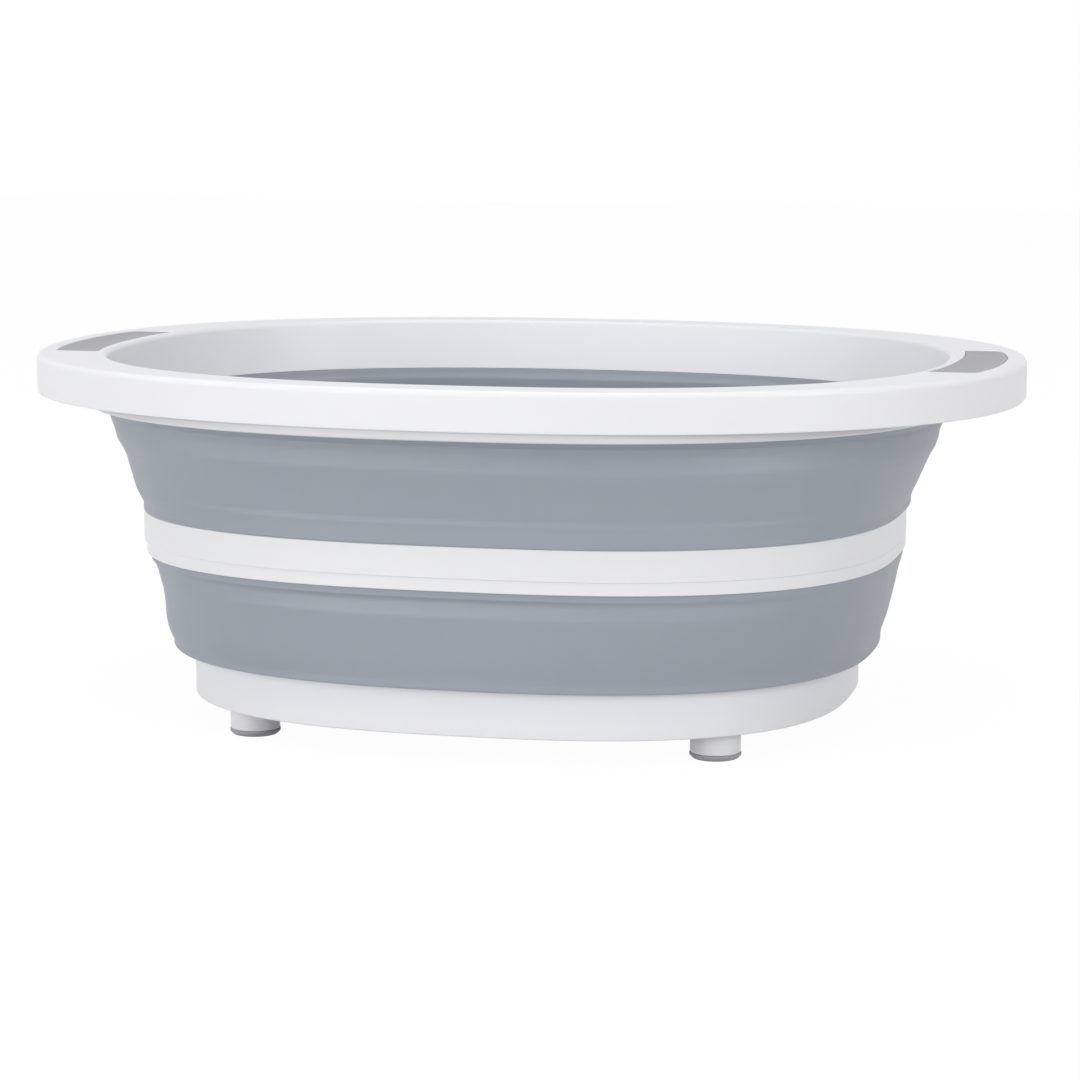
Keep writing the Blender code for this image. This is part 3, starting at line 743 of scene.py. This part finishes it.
@dataclass(frozen=True)
class RimAssembly:
    """The rim, its clamp collar, the grips and the upper wall."""

    skirt_wall: float = 2.4 * MM
    outer_round: float = 2.5 * MM
    inner_round: float = 2.2 * MM
    inner_wall: float = 2.2 * MM
    inner_lean: float = 2.5 * MM
    edge: float = 0.6 * MM
    pocket_depth: float = 1.9 * MM
    pocket_edge: float = 0.45 * MM
    peg_radius: float = 3.0 * MM
    peg_sunk: float = 0.3 * MM
    grip_below_rim: float = 0.3 * MM
    grip_edge: float = 0.5 * MM
    grip_dish: float = 0.9 * MM
    dish_rows: int = 11
    collar_reach_at_ends: float = 5.6 * MM
    collar_reach_at_sides: float = 13.6 * MM
    collar_leg: float = 1.8 * MM
    collar_shelf: float = 2.0 * MM
    collar_ledge: float = 2.0 * MM
    collar_round: float = 0.9 * MM
    bead_reach: float = 4.5 * MM
    bead_height: float = 2.0 * MM
    neck_below_collar: float = 1.2 * MM
    hem_round: float = 0.8 * MM
    samples_over_tongue: int = 3
    panel: tuple[float, float] = (96.0 * MM, 123.0 * MM)

    def inner_in(self, z: float) -> float:
        """How far the inner wall's face has leaned inside the opening at this height."""
        return self.inner_lean * (LEVELS.rim - z) / (LEVELS.rim - LEVELS.lip)

    def back_in(self, z: float) -> float:
        """The same for the back of the inner wall."""
        return self.inner_in(z) - self.inner_wall

    def behind(self, z: float) -> Oval:
        """The oval a gap behind the inner wall at this height."""
        return OPENING.inset(self.back_in(z) - GAP)

    @property
    def neck_z(self) -> float:
        """Height at which the upper wall's neck ends."""
        return LEVELS.collar - self.neck_below_collar

    @property
    def neck(self) -> Oval:
        """The outside of the upper wall's neck, which lies against the inner wall's back."""
        return self.behind(self.neck_z).inset(-WALL)

    def cut_pocket(self, rim: bpy.types.Object, shape: GripShape) -> None:
        """Cuts a grip's pocket and peg holes.

        The cutter is the grip's outline stacked up: a little wider below, and flared at the
        top by a quarter circle, so that the pocket's edge is rounded.

        Args:
            rim: The rim.
            shape: The grip's plan.
        """
        floor = LEVELS.rim - self.pocket_depth
        turn = np.linspace(0, np.pi / 2, ARC_STEPS + 1)
        flare = SEAM + self.pocket_edge * (1 - np.cos(turn))
        rise = LEVELS.rim - self.pocket_edge * (1 - np.sin(turn))
        loops = [shape.outline(grow) for grow in (SEAM, *flare, flare[-1])]
        spine = shape.spine(loops[0])
        heights = [floor, floor, *rise, LEVELS.rim + OVERCUT, LEVELS.rim + OVERCUT]
        cutter = stacked("pocket", [spine, *loops, spine], heights)
        holes = shape.pegs(self.peg_radius + GAP, LEVELS.flange_under - OVERCUT, LEVELS.rim)
        combined(rim, "DIFFERENCE", cutter, *holes)

    def rim(self) -> None:
        """The rim: skirt, flange and leaning inner wall, with the grips' pockets."""
        lip_in = self.inner_in(LEVELS.lip)
        section = [
            (RIM_EDGE, LEVELS.skirt, self.edge),
            (RIM_EDGE, LEVELS.rim, self.outer_round),
            (OPENING.inset(self.inner_in(LEVELS.rim)), LEVELS.rim, self.inner_round),
            (OPENING.inset(lip_in), LEVELS.lip, FINE_EDGE),
            (OPENING.inset(lip_in - self.inner_wall), LEVELS.lip, FINE_EDGE),
            (OPENING.inset(self.back_in(LEVELS.flange_under)), LEVELS.flange_under, self.edge),
            (RIM_EDGE.inset(self.skirt_wall), LEVELS.flange_under, self.edge),
            (RIM_EDGE.inset(self.skirt_wall), LEVELS.skirt, self.edge),
        ]
        piece = swept("rim_fine", rounded(section), OVAL_COLUMNS)
        for shape in GRIPS.values():
            self.cut_pocket(piece, shape)
        dressed(piece, WHITE, "rim", Body.RIM)

    def grip(self, label: str, shape: GripShape) -> None:
        """A grip: a dished inlay with a rounded edge.

        Its loops close from the outline to the middle line. At a share s of the way in, the
        top has sunk by dish (1 - (1-s)^2).

        Args:
            label: left or right.
            shape: Its plan.
        """
        low = LEVELS.rim - self.pocket_depth + GAP
        high = LEVELS.rim - self.grip_below_rim
        turn = np.linspace(0, np.pi / 2, ARC_STEPS + 1)
        loops, heights = [shape.outline(0.0)], [low]
        for angle in turn:
            loops.append(shape.outline(-self.grip_edge * (1 - math.cos(angle))))
            heights.append(high - self.grip_edge * (1 - math.sin(angle)))
        crown, spine = loops[-1], shape.spine(loops[0])
        for share in np.linspace(0, 1, self.dish_rows + 1)[1:]:
            loops.append(crown + share * (spine - crown))
            heights.append(high - self.grip_dish * (1 - (1 - share) ** 2))
        piece = stacked(f"grip_{label}_fine", [spine, *loops], [low, *heights])
        pegs = shape.pegs(self.peg_radius, LEVELS.flange_under, low + self.peg_sunk)
        combined(piece, "UNION", *pegs)
        dressed(piece, GRIP, f"grip_{label}", Body.RIM)

    def collar(self) -> None:
        """The clamp collar: a leg up to the flange, with a groove for the wall's bead."""
        shelf_top = LEVELS.collar + self.collar_shelf
        ledge = shelf_top + self.bead_height + 2 * GAP
        ledge_top = ledge + self.collar_ledge
        top = LEVELS.flange_under - GAP
        outer = OPENING.inset(-self.collar_reach_at_ends, -self.collar_reach_at_sides)
        leg = outer.inset(self.collar_leg)
        groove = OPENING.inset(-self.bead_reach - GAP)
        shelf_edge = self.neck.inset(-GAP)
        section = [
            (outer, LEVELS.collar, self.collar_round),
            (outer, top, FINE_EDGE),
            (leg, top, FINE_EDGE),
            (leg, ledge_top, self.edge),
            (self.behind(ledge_top), ledge_top, FINE_EDGE),
            (self.behind(ledge), ledge, FINE_EDGE),
            (groove, ledge, 0.0),
            (groove, shelf_top, 0.0),
            (shelf_edge, shelf_top, 0.0),
            (shelf_edge, LEVELS.collar, SMALL_EDGE),
        ]
        piece = swept("clamp_collar_fine", rounded(section), OVAL_COLUMNS)
        dressed(piece, SATIN_WHITE, "clamp_collar", Body.RIM)

    def upper_wall(self) -> None:
        """The upper wall: bead, neck, a panel between two fold lines, and a tongue in the ring."""
        bead_low = LEVELS.collar + self.collar_shelf + GAP
        bead_top = bead_low + self.bead_height
        foot_z = LEVELS.ring_top + SEAM
        stations = (
            (94.0, 160.5, 134.0, 2.64, 0.95),
            (97.0, 162.2, 134.0, 2.62, 0.5),
            (99.6, 163.7, 134.3, 2.60, 0.3),
            (100.6, 164.2, 133.6, 2.59, 0.28),
            (109.0, 167.5, 136.3, 2.53, 0.67),
            (113.5, 169.2, 138.1, 2.50, 1.05),
            (116.5, 171.0, 139.4, 2.48, 1.1),
            (120.0, 172.7, 140.9, 2.46, 0.5),
            (121.0, 173.0, 141.1, 2.45, 0.4),
            (124.0, 173.9, 140.6, 2.43, 0.1),
            (127.6, 175.8, 139.9, 2.40, 0.0),
            (129.0, 176.5, 140.4, 2.39, 0.0),
            (130.4, 176.8, 140.6, 2.38, 0.0),
        )
        panel = eased(stations)
        hem = panel[0][0]
        tongue_out = RING_EDGE.inset(BAND_WALL + GAP)
        tongue_in = tongue_out.inset(TONGUE)
        tongue_z = LEVELS.ring_line + GAP
        under_lip = LEVELS.lip - SEAM
        section = [
            (OPENING.inset(-self.bead_reach), bead_top, FINE_EDGE),
            (OPENING.inset(-self.bead_reach), bead_low, FINE_EDGE),
            (self.neck, bead_low, 0.0),
            (self.neck, self.neck_z, FINE_EDGE),
            *[(oval, z, 0.0) for oval, z in reversed(panel)],
            (hem, foot_z, self.hem_round),
            (tongue_out, foot_z, 0.0),
            (tongue_out, tongue_z, 0.0),
            (tongue_in, tongue_z, 0.0),
            (tongue_in, foot_z, 0.0),
            *[(oval.inset(WALL), z, 0.0) for oval, z in panel[self.samples_over_tongue :]],
            (OPENING.inset(self.inner_in(LEVELS.lip)), under_lip, FINE_EDGE),
            (self.behind(LEVELS.lip), under_lip, 0.0),
            (self.behind(bead_top), bead_top, FINE_EDGE),
        ]
        piece = swept("upper_wall_fine", rounded(section), OVAL_COLUMNS)
        folding(piece, "upper_wall")

    def build(self) -> None:
        """Builds the rim's five pieces."""
        self.rim()
        self.collar()
        for label, shape in GRIPS.items():
            self.grip(label, shape)
        self.upper_wall()


@dataclass(frozen=True)
class MiddleRing:
    """The ring's band and hoop, and the lower wall."""

    hoop_wall: float = 1.6 * MM
    hoop_tongue: float = 3.4 * MM
    lip_round: float = 0.45 * MM
    line_edge: float = 0.25 * MM
    hem_round: float = 3.2 * MM
    hem_lip: float = 0.8 * MM
    cover_round: float = 0.9 * MM
    tongue_round: float = 0.8 * MM
    inner_top: float = 62.0 * MM
    panel: tuple[float, float] = (34.0 * MM, 61.5 * MM)

    @property
    def face_in(self) -> float:
        """How far inside the ring's outline the hoop's outer face is."""
        return BAND_WALL + TONGUE + 2 * GAP

    def band(self) -> None:
        """The outer band, which stands on the hoop's lip."""
        low = LEVELS.ring_line + SEAM
        inner = RING_EDGE.inset(BAND_WALL)
        section = [
            (RING_EDGE, low, self.line_edge),
            (RING_EDGE, LEVELS.ring_top, SOFT_EDGE),
            (inner, LEVELS.ring_top, FINE_EDGE),
            (inner, low, FINE_EDGE),
        ]
        piece = swept("ring_band_fine", rounded(section), OVAL_COLUMNS)
        dressed(piece, WHITE, "ring_band", Body.RING)

    def hoop(self) -> None:
        """The hoop: a wall behind the upper tongue, a lip, and a tongue below."""
        face = RING_EDGE.inset(self.face_in)
        back = face.inset(self.hoop_wall)
        low = LEVELS.ring - self.hoop_tongue
        section = [
            (RING_LIP, LEVELS.ring, self.lip_round),
            (RING_LIP, LEVELS.ring_line, CRISP_EDGE),
            (face, LEVELS.ring_line, 0.0),
            (face, LEVELS.ring_top, FINE_EDGE),
            (back, LEVELS.ring_top, SMALL_EDGE),
            (back, low, FINE_EDGE),
            (face, low, FINE_EDGE),
            (face, LEVELS.ring, 0.0),
        ]
        piece = swept("ring_hoop_fine", rounded(section), OVAL_COLUMNS)
        dressed(piece, WHITE, "ring_hoop", Body.RING)

    def lower_wall(self) -> None:
        """The lower wall: a tongue round the hoop's, a panel between two fold lines, and a hem."""
        top = LEVELS.ring - SEAM
        slot_z = LEVELS.ring - self.hoop_tongue - GAP
        slot_out = RING_EDGE.inset(self.face_in - GAP)
        slot_in = RING_EDGE.inset(self.face_in + self.hoop_wall + GAP)
        back = slot_in.inset(TONGUE)
        stations = (
            (34.3, 149.9, 123.6, 2.47, 0.1),
            (36.6, 150.6, 124.1, 2.49, -0.35),
            (40.0, 151.6, 125.1, 2.51, -0.25),
            (44.0, 152.5, 126.1, 2.53, 0.2),
            (50.0, 153.1, 127.4, 2.56, 1.0),
            (57.0, 154.0, 128.9, 2.60, 1.6),
            (61.5, 154.9, 129.9, 2.62, 1.5),
            (64.5, 155.6, 129.2, 2.64, 1.5),
            (67.6, 156.8, 128.5, 2.64, 1.3),
            (69.4, 157.6, 130.3, 2.64, 0.8),
        )
        panel = eased(stations)
        hem, head = panel[0][0], panel[-1][0]
        groove = BASE_EDGE.inset(-BASE_FLANGE - GAP)
        cover_z = LEVELS.base_top + GAP
        section = [
            (head, top, FINE_EDGE),
            *[(oval, z, 0.0) for oval, z in reversed(panel)],
            (hem, LEVELS.hem, self.hem_round),
            (BASE_EDGE.inset(-GAP), LEVELS.hem, FINE_EDGE),
            (BASE_EDGE.inset(-GAP), LEVELS.hem + self.hem_lip, 0.0),
            (groove, LEVELS.hem + self.hem_lip, 0.0),
            (groove, cover_z, 0.0),
            (BASE_EDGE, cover_z, FINE_EDGE),
            (BASE_EDGE, cover_z + WALL, self.cover_round),
            *[(oval.inset(WALL), z + WALL, 0.0) for oval, z in panel if z < self.inner_top],
            (back, slot_z, self.tongue_round),
            (back, top, SMALL_EDGE),
            (slot_in, top, FINE_EDGE),
            (slot_in, slot_z, 0.0),
            (slot_out, slot_z, 0.0),
            (slot_out, top, 0.0),
        ]
        piece = swept("lower_wall_fine", rounded(section), OVAL_COLUMNS)
        folding(piece, "lower_wall")

    def build(self) -> None:
        """Builds the ring's three pieces."""
        self.band()
        self.hoop()
        self.lower_wall()


@dataclass(frozen=True)
class BaseTray:
    """The tray, its legs and its pads."""

    wall: float = 2.6 * MM
    lean: float = 0.6 * MM
    edge: float = 0.7 * MM
    inner_edge: float = 1.2 * MM
    under_round: float = 0.8 * MM
    floor_fillet: float = 4.0 * MM
    dish_margin: float = 4.5 * MM
    dish_slope: float = 2.5 * MM
    dish_round: float = 1.2 * MM
    leg_radius: float = 10.3 * MM
    socket_wall: float = 2.0 * MM
    socket_above_edge: float = 0.8 * MM
    pad_proud: float = 0.2 * MM
    pad_chamfer: float = 1.3 * MM
    pad_round: float = 0.7 * MM
    pad_edge: float = 0.35 * MM
    peg_radius: float = 4.0 * MM
    peg_length: float = 5.0 * MM

    def leg_centres(self) -> dict[str, tuple[float, float]]:
        """Where the legs stand: the middle of each pad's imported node."""
        names = ("front_left", "front_right", "rear_left", "rear_right")
        boxes = {name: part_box(f"foot_pad_{name}") for name in names}
        return {name: tuple(((low + high) / 2)[:2]) for name, (low, high) in boxes.items()}

    def tray(self) -> None:
        """The tray: skirt, flange, floor with a drain dish, tube and leg sockets."""
        wall = BASE_EDGE.inset(self.wall)
        low_wall = wall.inset(self.lean)
        flange = BASE_EDGE.inset(-BASE_FLANGE)
        dish = DRAIN.radius + self.dish_margin
        tube = DRAIN.radius + DRAIN.wall
        section = [
            (BASE_EDGE, LEVELS.base_edge, self.edge),
            (BASE_EDGE, LEVELS.base_flange_under, 0.0),
            (flange, LEVELS.base_flange_under, 0.0),
            (flange, LEVELS.base_top, FINE_EDGE),
            (wall, LEVELS.base_top, self.inner_edge),
            (low_wall, LEVELS.floor, self.floor_fillet),
            (disc(dish + self.dish_slope), LEVELS.floor, self.dish_round),
            (disc(dish), DRAIN.dish, self.dish_round),
            (disc(DRAIN.radius), DRAIN.dish, SMALL_EDGE),
            (disc(DRAIN.radius), DRAIN.foot, FINE_EDGE),
            (disc(tube), DRAIN.foot, FINE_EDGE),
            (disc(tube), LEVELS.floor_under, SOFT_EDGE),
            (wall, LEVELS.floor_under, self.under_round),
            (wall, LEVELS.base_edge, SOFT_EDGE),
        ]
        piece = swept("base_tray_fine", rounded(section), OVAL_COLUMNS)
        bore = self.leg_radius + GAP
        boss = bore + self.socket_wall
        low = LEVELS.base_edge + self.socket_above_edge
        high = (LEVELS.floor_under + LEVELS.floor) / 2
        bore_low = LEVELS.base_edge - OVERCUT
        bosses, bores = [], []
        for centre in self.leg_centres().values():
            bosses.append(post("boss", boss, low, high, centre, SMALL_EDGE))
            bores.append(post("bore", bore, bore_low, LEVELS.floor_under, centre))
        combined(piece, "UNION", *bosses)
        combined(piece, "DIFFERENCE", *bores)
        dressed(piece, WHITE, "base_tray", Body.BASE)

    def leg(self, name: str, centre: tuple[float, float]) -> None:
        """A leg: a post in its socket.

        Args:
            name: Which corner it stands at.
            centre: Its axis.
        """
        low = LEVELS.pad_top + SEAM
        high = LEVELS.floor_under - GAP
        bore = self.peg_radius + GAP
        bore_top = low + self.peg_length
        profile = [
            (0.0, bore_top, 0.0),
            (bore, bore_top, 0.0),
            (bore, low, CRISP_EDGE),
            (self.leg_radius, low, SMALL_EDGE),
            (self.leg_radius, high, SMALL_EDGE),
            (0.0, high, 0.0),
        ]
        piece = turned(f"leg_{name}_fine", profile, centre)
        dressed(piece, WHITE, f"leg_{name}", Body.BASE)

    def pad(self, name: str, centre: tuple[float, float]) -> None:
        """A rubber pad: a disc with a rounded foot and a peg.

        Args:
            name: Which corner it stands at.
            centre: Its axis.
        """
        radius = self.leg_radius + self.pad_proud
        peg_top = LEVELS.pad_top + self.peg_length
        profile = [
            (0.0, 0.0, 0.0),
            (radius - self.pad_chamfer, 0.0, SOFT_EDGE),
            (radius, self.pad_chamfer, self.pad_round),
            (radius, LEVELS.pad_top, self.pad_edge),
            (self.peg_radius, LEVELS.pad_top, CRISP_EDGE),
            (self.peg_radius, peg_top, FINE_EDGE),
            (0.0, peg_top, 0.0),
        ]
        piece = turned(f"foot_pad_{name}_fine", profile, centre)
        dressed(piece, RUBBER, f"foot_pad_{name}", Body.BASE)

    def build(self) -> None:
        """Builds the tray's nine pieces."""
        self.tray()
        for name, centre in self.leg_centres().items():
            self.leg(name, centre)
            self.pad(name, centre)


@dataclass(frozen=True)
class Strainer:
    """The pierced cup in the drain tube's lower end."""

    flange: float = 1.0 * MM
    plate: float = 1.6 * MM
    cup_height: float = 1.6 * MM
    cup_wall: float = 1.8 * MM
    hole_radius: float = 2.4 * MM
    rings: tuple = ((12.5 * MM, 8), (5.8 * MM, 4))

    def holes(self, low: float, high: float) -> list[bpy.types.Object]:
        """Cutters for the holes, in rings round the middle.

        Args:
            low: Height of the plate's underside.
            high: Height of its top.

        Returns:
            A cylinder for each hole.
        """
        made = []
        for ring, count in self.rings:
            for number in range(count):
                angle = math.tau * number / count
                centre = (ring * math.cos(angle), ring * math.sin(angle))
                made.append(post("hole", self.hole_radius, low - OVERCUT, high + OVERCUT, centre))
        return made

    def build(self) -> None:
        """Builds the strainer: a flange under the tube, a cup in it and a pierced plate."""
        top = DRAIN.foot - GAP
        low = top - self.flange
        plate = low + self.plate
        cup_top = top + self.cup_height
        flange = DRAIN.radius + DRAIN.wall
        outer = DRAIN.radius - GAP
        inner = outer - self.cup_wall
        profile = [
            (0.0, low, 0.0),
            (flange, low, FINE_EDGE),
            (flange, top, FINE_EDGE),
            (outer, top, 0.0),
            (outer, cup_top, FINE_EDGE),
            (inner, cup_top, FINE_EDGE),
            (inner, plate, CRISP_EDGE),
            (0.0, plate, 0.0),
        ]
        piece = turned("drain_strainer_fine", profile)
        combined(piece, "DIFFERENCE", *self.holes(low, plate))
        dressed(piece, SATIN_WHITE, "drain_strainer", Body.BASE)


@dataclass(frozen=True)
class Plug:
    """The plug and its seal."""

    flange_reach: float = 3.4 * MM
    flange: float = 1.4 * MM
    dome: float = 0.8 * MM
    dome_run: float = 2.4 * MM
    dome_round: float = 1.5 * MM
    stem: float = 4.2 * MM
    lip: float = 1.1 * MM
    clear: float = 1.4 * MM
    groove: float = 1.8 * MM
    groove_depth: float = 2.0 * MM
    seal_lip: float = 0.25 * MM
    bar_length: float = 34.0 * MM
    bar_width: float = 7.0 * MM
    bar_height: float = 10.0 * MM
    bar_round: float = 2.2 * MM
    bar_exponent: float = 5.0

    @property
    def seat(self) -> float:
        """Height of the flange's underside."""
        return DRAIN.dish + GAP

    def body(self) -> None:
        """The plug: a domed flange, a grooved stem and a bar to pull it by.

        The bar is an oval block: its rows are nearly rectangular superellipses, and they
        close to a line at its rounded top.
        """
        foot = self.seat - self.stem
        low = foot + self.lip
        stem = DRAIN.radius - self.clear
        waist = stem - self.groove_depth
        flange = DRAIN.radius + self.flange_reach
        top = self.seat + self.flange + self.dome
        profile = [
            (0.0, foot, 0.0),
            (stem, foot, SOFT_EDGE),
            (stem, low, 0.0),
            (waist, low, 0.0),
            (waist, low + self.groove, 0.0),
            (stem, low + self.groove, 0.0),
            (stem, self.seat, FINE_EDGE),
            (flange, self.seat, SMALL_EDGE),
            (flange, self.seat + self.flange, SOFT_EDGE),
            (flange - self.dome_run, top, self.dome_round),
            (0.0, top, 0.0),
        ]
        piece = turned("plug_body_fine", profile)
        bar = Oval(self.bar_length / 2, self.bar_width / 2, self.bar_exponent)
        root = top - OVERCUT
        crest = top + self.bar_height
        corners = [
            (bar.inset(bar.a, bar.b), root, 0.0),
            (bar, root, 0.0),
            (bar, crest, self.bar_round),
            (bar.inset(bar.b), crest, 0.0),
        ]
        combined(piece, "UNION", swept("bar", rounded(corners, False), ROUND_COLUMNS, False))
        dressed(piece, WHITE, "plug_body", Body.PLUG)

    def seal(self) -> None:
        """The seal: a ring in the groove with a lip out to the drain's wall."""
        low = self.seat - self.stem + self.lip + GAP
        high = low + self.groove - 2 * GAP
        inner = DRAIN.radius - self.clear - self.groove_depth + GAP
        outer = DRAIN.radius - GAP
        bevel = (high - low) / 2
        section = [
            (disc(inner), low, CRISP_EDGE),
            (disc(outer - bevel), low, CRISP_EDGE),
            (disc(outer), low + bevel, self.seal_lip),
            (disc(outer - bevel), high, CRISP_EDGE),
            (disc(inner), high, CRISP_EDGE),
        ]
        piece = swept("plug_seal_fine", rounded(section), ROUND_COLUMNS)
        dressed(piece, ELASTOMER, "plug_seal", Body.PLUG)

    def build(self) -> None:
        """Builds the plug's two pieces."""
        self.body()
        self.seal()


# Studio


@dataclass(frozen=True)
class Softbox:
    """A rectangular lamp: where it hangs, what it faces, its sides and its power in watts."""

    name: str
    place: tuple
    aim: tuple
    size: tuple
    power: float

    def build(self) -> None:
        """Hangs the lamp."""
        lamp = bpy.data.lights.new(self.name, "AREA")
        lamp.shape = "RECTANGLE"
        lamp.size, lamp.size_y = self.size
        lamp.energy = self.power
        hung(self.name, lamp, self.place, self.aim)


@dataclass(frozen=True)
class Studio:
    """A white floor and surround, soft lamps, and the camera."""

    camera_place: tuple = (0.342504, -1.362818, 0.291246)
    camera_aim: tuple = (0.0049165, 0.0012167, 0.0728734)
    lens: float = 110.5123
    sensor: float = 36.0
    sight: float = 50.0
    surround: float = 0.34
    floor_half: float = 4.0
    floor_bounce: float = 0.75
    floor_roughness: float = 0.9
    floor_glow: float = 1.03
    floor_share: float = 0.94
    lamps: tuple = (
        Softbox("front_softbox", (-0.35, -1.9, 0.75), (0.0, 0.0, 0.10), (1.2, 0.9), 2.5),
        Softbox("left_softbox", (-1.6, -0.9, 0.7), (0.0, 0.0, 0.08), (0.9, 0.9), 5.2),
        Softbox("right_softbox", (1.6, -1.0, 0.7), (0.0, 0.0, 0.08), (0.9, 0.9), 10.3),
        Softbox("top_softbox", (0.0, -0.5, 1.85), (0.0, 0.0, 0.1), (1.2, 1.0), 12.8),
        Softbox("card", (-0.95, -1.75, 0.42), (0.0, 0.0, 0.14), (1.3, 0.5), 7.4),
    )

    def backdrop_rays(self, graph: Graph) -> Value:
        """1 for the rays that see the backdrop as white: camera, glossy and transmission rays."""
        rays = ("Is Camera Ray", "Is Glossy Ray", "Is Transmission Ray")
        camera, glossy, through = (graph.node("ShaderNodeLightPath", output=ray) for ray in rays)
        seen = camera + glossy + through
        return graph.node("ShaderNodeMath", {"operation": "MINIMUM"}, {0: seen, 1: 1.0})

    def world(self) -> None:
        """A white surround: plain white where it is seen, and dimmer where it lights."""
        world = bpy.data.worlds.new("surround")
        world.use_nodes = True
        bpy.context.scene.world = world
        graph = Graph(world.node_tree)
        seen = self.backdrop_rays(graph)
        strength = seen + (1 - seen) * self.surround
        background = world.node_tree.nodes["Background"]
        graph.feed(background, {"Color": (1.0, 1.0, 1.0, 1.0), "Strength": strength})

    def floor(self) -> None:
        """A white floor that keeps a faint shadow."""
        half = self.floor_half
        mesh = bpy.data.meshes.new("studio_floor")
        corners = [(-half, -half, 0), (half, -half, 0), (half, half, 0), (-half, half, 0)]
        mesh.from_pydata(corners, [], [(0, 1, 2, 3)])
        made = bpy.data.materials.new("studio_floor")
        made.use_nodes = True
        graph = Graph(made.node_tree)
        shader = made.node_tree.nodes["Principled BSDF"]
        grey = (self.floor_bounce, self.floor_bounce, self.floor_bounce, 1.0)
        graph.feed(shader, {"Base Color": grey, "Roughness": self.floor_roughness})
        white = {"Color": (1.0, 1.0, 1.0, 1.0), "Strength": self.floor_glow}
        glow = graph.node("ShaderNodeEmission", None, white)
        share = self.backdrop_rays(graph) * self.floor_share
        surface = Value(graph, shader.outputs[0])
        mixed = graph.node("ShaderNodeMixShader", None, {0: share, 1: surface, 2: glow})
        graph.feed(made.node_tree.nodes["Material Output"], {"Surface": mixed})
        mesh.materials.append(made)
        ground = bpy.data.objects.new("studio_floor", mesh)
        bpy.context.scene.collection.objects.link(ground)

    def camera(self) -> None:
        """The camera at the photograph's place."""
        camera = bpy.data.cameras.new("camera")
        camera.lens = self.lens
        camera.sensor_width = self.sensor
        camera.clip_end = self.sight
        bpy.context.scene.camera = hung("camera", camera, self.camera_place, self.camera_aim)

    def build(self) -> None:
        """Sets up the studio."""
        self.camera()
        self.world()
        self.floor()
        for lamp in self.lamps:
            lamp.build()
        bpy.context.scene.view_settings.view_transform = "Standard"


def main() -> None:
    """Builds the basin's sub-assemblies and the studio."""
    logging.basicConfig(level=logging.INFO, format="%(name)s %(message)s")
    Studio().build()
    for part in (BaseTray(), Strainer(), Plug(), MiddleRing(), RimAssembly()):
        part.build()


if __name__ == "__main__":
    main()
